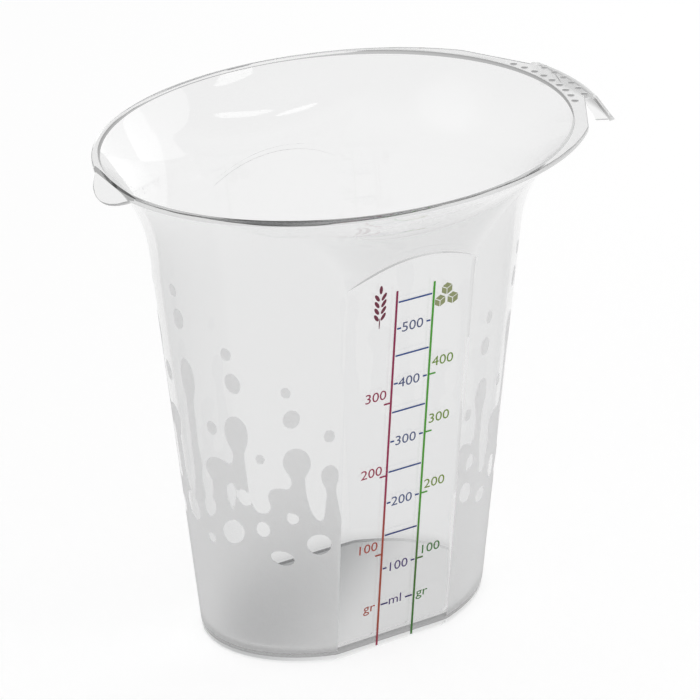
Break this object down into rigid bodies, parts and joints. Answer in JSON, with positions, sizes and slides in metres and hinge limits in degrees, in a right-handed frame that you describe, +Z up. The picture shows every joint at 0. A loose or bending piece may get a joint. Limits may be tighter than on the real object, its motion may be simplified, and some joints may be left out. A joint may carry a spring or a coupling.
{
  "type": "measuring jug",
  "caption": "Clear plastic measuring jug: oval flared body with flat graduated panels, wide flanged rim, small pouring beak and drooping thumb tab with grip pips.",
  "frame": {"origin": "on the resting plane, midway between the tip of the beak and the tip of the thumb tab, on the jug's plane of symmetry", "axes": "+Z up through the mouth, +X towards the thumb tab, -X towards the pouring beak, -Y out of the panel with the printed scales"},
  "size_m": [0.1554, 0.1082, 0.1504],
  "materials": {
    "clear_plastic": "clear, lightly frosted flanks, polished rim",
    "flour_ink": "printed ink",
    "sugar_ink": "printed ink",
    "volume_ink": "printed ink"
  },
  "bodies": {
    "root": {"jug_body": "clear_plastic", "flour_scale": "flour_ink", "sugar_scale": "sugar_ink", "volume_rung_150": "volume_ink", "volume_rung_250": "volume_ink", "volume_rung_350": "volume_ink", "volume_rung_450": "volume_ink", "volume_rung_550": "volume_ink", "volume_tick_left_100": "volume_ink", "volume_tick_left_200": "volume_ink", "volume_tick_left_300": "volume_ink", "volume_tick_left_400": "volume_ink", "volume_tick_left_500": "volume_ink", "volume_tick_right_100": "volume_ink", "volume_tick_right_200": "volume_ink", "volume_tick_right_300": "volume_ink", "volume_tick_right_400": "volume_ink", "volume_tick_right_500": "volume_ink", "volume_unit_dash_left": "volume_ink", "volume_unit_dash_right": "volume_ink"}
  },
  "joints": []
}
